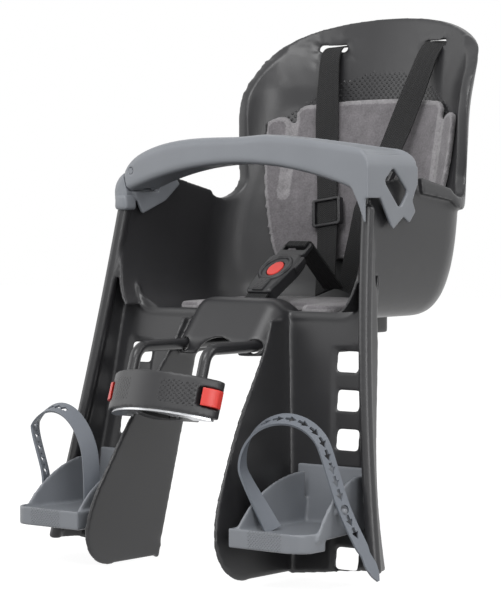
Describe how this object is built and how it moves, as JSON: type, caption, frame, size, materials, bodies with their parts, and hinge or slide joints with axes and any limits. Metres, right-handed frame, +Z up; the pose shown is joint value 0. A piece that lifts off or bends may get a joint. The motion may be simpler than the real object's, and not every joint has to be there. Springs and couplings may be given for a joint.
{
  "type": "front-mounted child bike seat",
  "caption": "Bucket seat for a small child with leg guards, sliding footrests, a swing-up safety bar and a harness, carried by a bent rod in a quick-release clamp block",
  "frame": {"origin": "on the axis of the head-tube clamp, at half the height of the clamp block", "axes": "+X to the child's left, +Y to the back of the seat, +Z up"},
  "size_m": [0.4313, 0.4219, 0.5481],
  "materials": {
    "shell": "fine matte grain",
    "pad": "short velour over foam",
    "black_steel": "satin black coating",
    "black_plastic": "matte",
    "zinc_steel": "bright zinc",
    "liner_rubber": "matte",
    "red_plastic": "satin",
    "grey_plastic": "fine matte grain",
    "grey_rubber": "matte",
    "webbing": "woven, with a stitched edge"
  },
  "bodies": {
    "block": {"block_body": "black_plastic", "block_jaw": "black_plastic", "clamp_bolt_left": "zinc_steel", "clamp_bolt_right": "zinc_steel", "clamp_liner": "liner_rubber", "block_base_plate": "zinc_steel", "button_spring_left": "zinc_steel", "button_spring_right": "zinc_steel"},
    "seat": {"seat_shell": "shell", "back_pad": "pad", "seat_pad": "pad", "carrier_rod": "black_steel", "rod_saddle": "black_plastic", "saddle_screw_left": "zinc_steel", "saddle_screw_right": "zinc_steel", "bar_bracket": "grey_plastic", "hinge_pin": "zinc_steel", "buckle_housing": "black_plastic", "buckle_tongue": "black_plastic", "crotch_strap": "webbing", "crotch_anchor": "black_plastic", "tongue_strap": "webbing", "shoulder_strap_left": "webbing", "shoulder_strap_right": "webbing", "strap_adjuster_left": "black_plastic", "strap_adjuster_right": "black_plastic", "strap_anchor_left": "black_plastic", "strap_anchor_right": "black_plastic"},
    "bar": {"safety_bar": "grey_plastic"},
    "button_left": {"release_button_left": "red_plastic"},
    "button_right": {"release_button_right": "red_plastic"},
    "buckle_press": {"buckle_button": "red_plastic"},
    "rest_left": {"footrest_left": "grey_plastic", "foot_strap_left": "grey_rubber"},
    "rest_right": {"footrest_right": "grey_plastic", "foot_strap_right": "grey_rubber"}
  },
  "joints": [
    {"name": "seat_lift", "type": "slide", "parent": "block", "child": "seat", "axis": [0, 0.309, 0.9511], "range_m": [0, 0.03]},
    {"name": "bar_swing", "type": "hinge", "parent": "seat", "child": "bar", "pos_m": [-0.137, 0.138, 0.214], "axis": [0, -1, 0], "range_deg": [0, 90]},
    {"name": "release_left", "type": "slide", "parent": "block", "child": "button_left", "axis": [-1, 0, 0], "range_m": [0, 0.0035], "stiffness_N_per_m": 600},
    {"name": "release_right", "type": "slide", "parent": "block", "child": "button_right", "axis": [1, 0, 0], "range_m": [0, 0.0035], "stiffness_N_per_m": 600},
    {"name": "buckle_release", "type": "slide", "parent": "seat", "child": "buckle_press", "axis": [0, 0.575, -0.8181], "range_m": [0, 0.0025], "stiffness_N_per_m": 600},
    {"name": "rest_left_height", "type": "slide", "parent": "seat", "child": "rest_left", "axis": [-0.0995, 0.1438, 0.9846], "range_m": [0, 0.0744]},
    {"name": "rest_right_height", "type": "slide", "parent": "seat", "child": "rest_right", "axis": [0.0995, 0.1438, 0.9846], "range_m": [0, 0.0744]}
  ]
}
